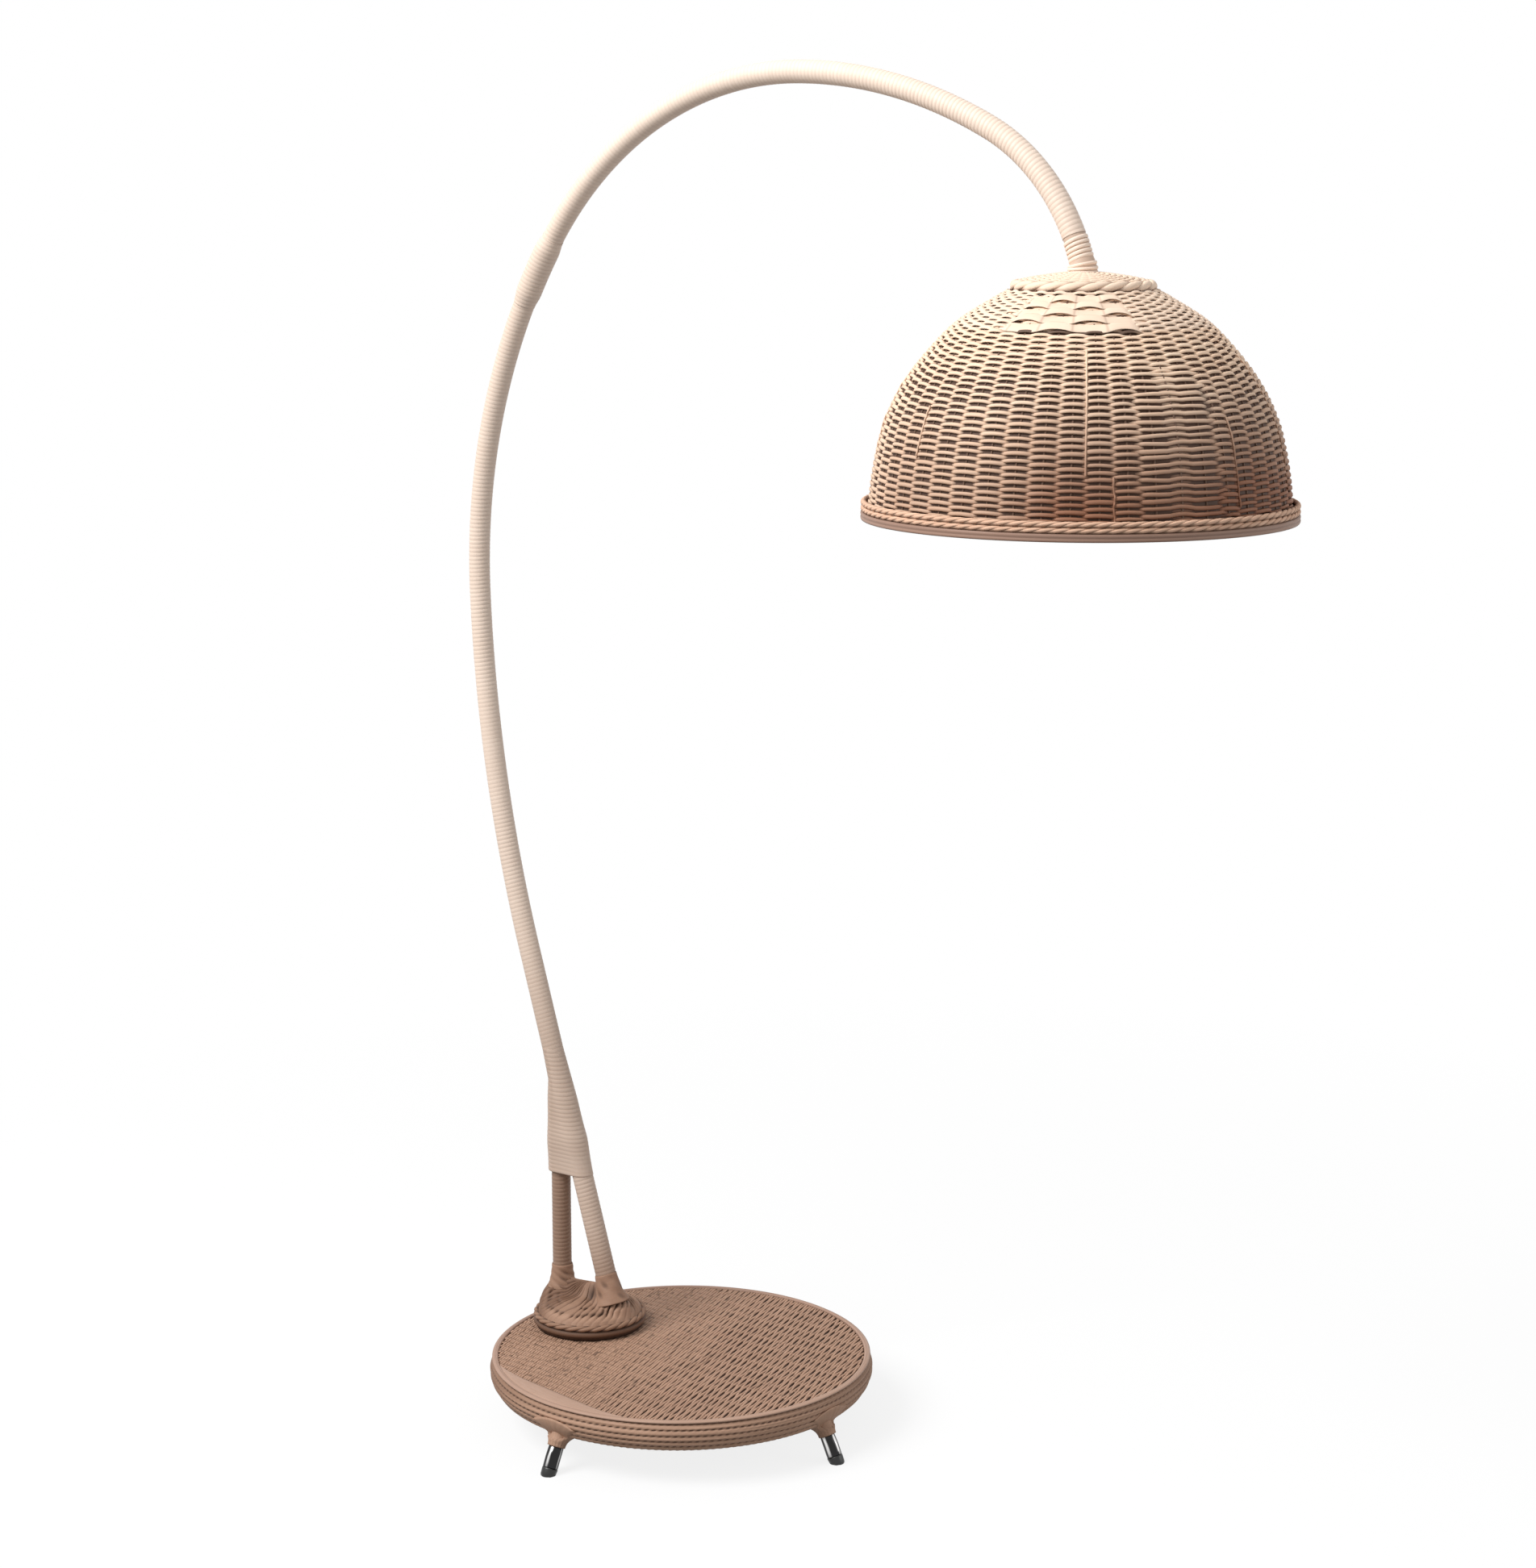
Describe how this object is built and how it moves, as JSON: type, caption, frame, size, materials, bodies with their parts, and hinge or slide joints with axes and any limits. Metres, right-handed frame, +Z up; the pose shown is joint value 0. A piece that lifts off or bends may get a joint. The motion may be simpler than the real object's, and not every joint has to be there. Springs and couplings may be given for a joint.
{
  "type": "arc floor lamp",
  "caption": "Arc floor lamp: a cane-wrapped arm with a forked foot, an open woven dome shade that turns, and a weighted woven base on chrome feet.",
  "frame": {"origin": "on the floor, at the middle of the lamp's whole box", "axes": "+Z up; the arm bends in the XZ plane, with the base towards -X and the shade towards +X"},
  "size_m": [1.2188, 0.547, 1.7616],
  "materials": {
    "cane": "satin cane wrapping",
    "base_weave": "matt woven rattan, brown",
    "shade_weave": "matt woven rattan, pale",
    "steel": "mill",
    "ballast": "rough",
    "board": "pressed board",
    "chrome": "polished",
    "rubber": "matt",
    "black_plastic": "satin",
    "brass": "satin",
    "bulb_glass": "frosted"
  },
  "bodies": {
    "root": {"spacer": "brass", "clamp_washer": "brass", "clamp_nut": "brass", "holder_cap": "black_plastic", "holder_body": "black_plastic", "base_panel": "board", "base_cross_bars": "steel", "base_ballast": "ballast", "base_board": "board", "base_hoop": "steel", "base_side_courses": "base_weave", "base_rim_band": "cane", "base_top_weave": "base_weave", "foot_rod_1": "chrome", "foot_rod_2": "chrome", "foot_rod_3": "chrome", "foot_rod_4": "chrome", "foot_tip_1": "rubber", "foot_tip_2": "rubber", "foot_tip_3": "rubber", "foot_tip_4": "rubber", "foot_cuff_1": "cane", "foot_cuff_2": "cane", "foot_cuff_3": "cane", "foot_cuff_4": "cane", "cable_gland": "rubber", "foot_flange": "steel", "flange_bolt_1": "steel", "flange_bolt_2": "steel", "flange_bolt_3": "steel", "flange_bolt_4": "steel", "boss_weave": "base_weave", "boss_rope_lower": "base_weave", "boss_rope_upper": "base_weave", "strut_tube": "steel", "strut_wrap": "cane", "collar_binding": "cane", "pole_tube": "steel", "pole_wrap": "cane", "joint_coupler": "steel", "joint_screw_lower": "steel", "joint_screw_upper": "steel", "joint_sleeve": "cane", "arc_tube": "steel", "arc_wrap": "cane", "neck_winding": "cane", "end_plug": "brass", "lead": "black_plastic"},
    "shade": {"shade_spider": "steel", "shade_ribs": "steel", "shade_crown_weave": "shade_weave", "shade_weave": "shade_weave", "shade_cap_weave": "shade_weave", "shade_cap_rope": "shade_weave", "shade_rim_rope_lower": "shade_weave", "shade_rim_rope_upper": "shade_weave", "shade_band": "shade_weave"},
    "bulb_seat": {"bulb_contact": "brass"},
    "bulb": {"bulb_cap": "brass", "bulb_glass": "bulb_glass"}
  },
  "joints": [
    {"name": "shade_swivel", "type": "hinge", "parent": "root", "child": "shade", "pos_m": [0.35894, 0, 1.50171], "axis": [0, 0, 1], "continuous": true},
    {"name": "bulb_drop", "type": "slide", "parent": "root", "child": "bulb_seat", "axis": [0, 0, -1], "range_m": [0, 0.0146]},
    {"name": "bulb_turn", "type": "hinge", "parent": "bulb_seat", "child": "bulb", "pos_m": [0.35894, 0, 1.445], "axis": [0, 0, -1], "range_deg": [0, 1440]}
  ],
  "couplings": [
    {"joint": "bulb_drop", "follows": "bulb_turn", "m_per_rad": 0.00057757}
  ]
}
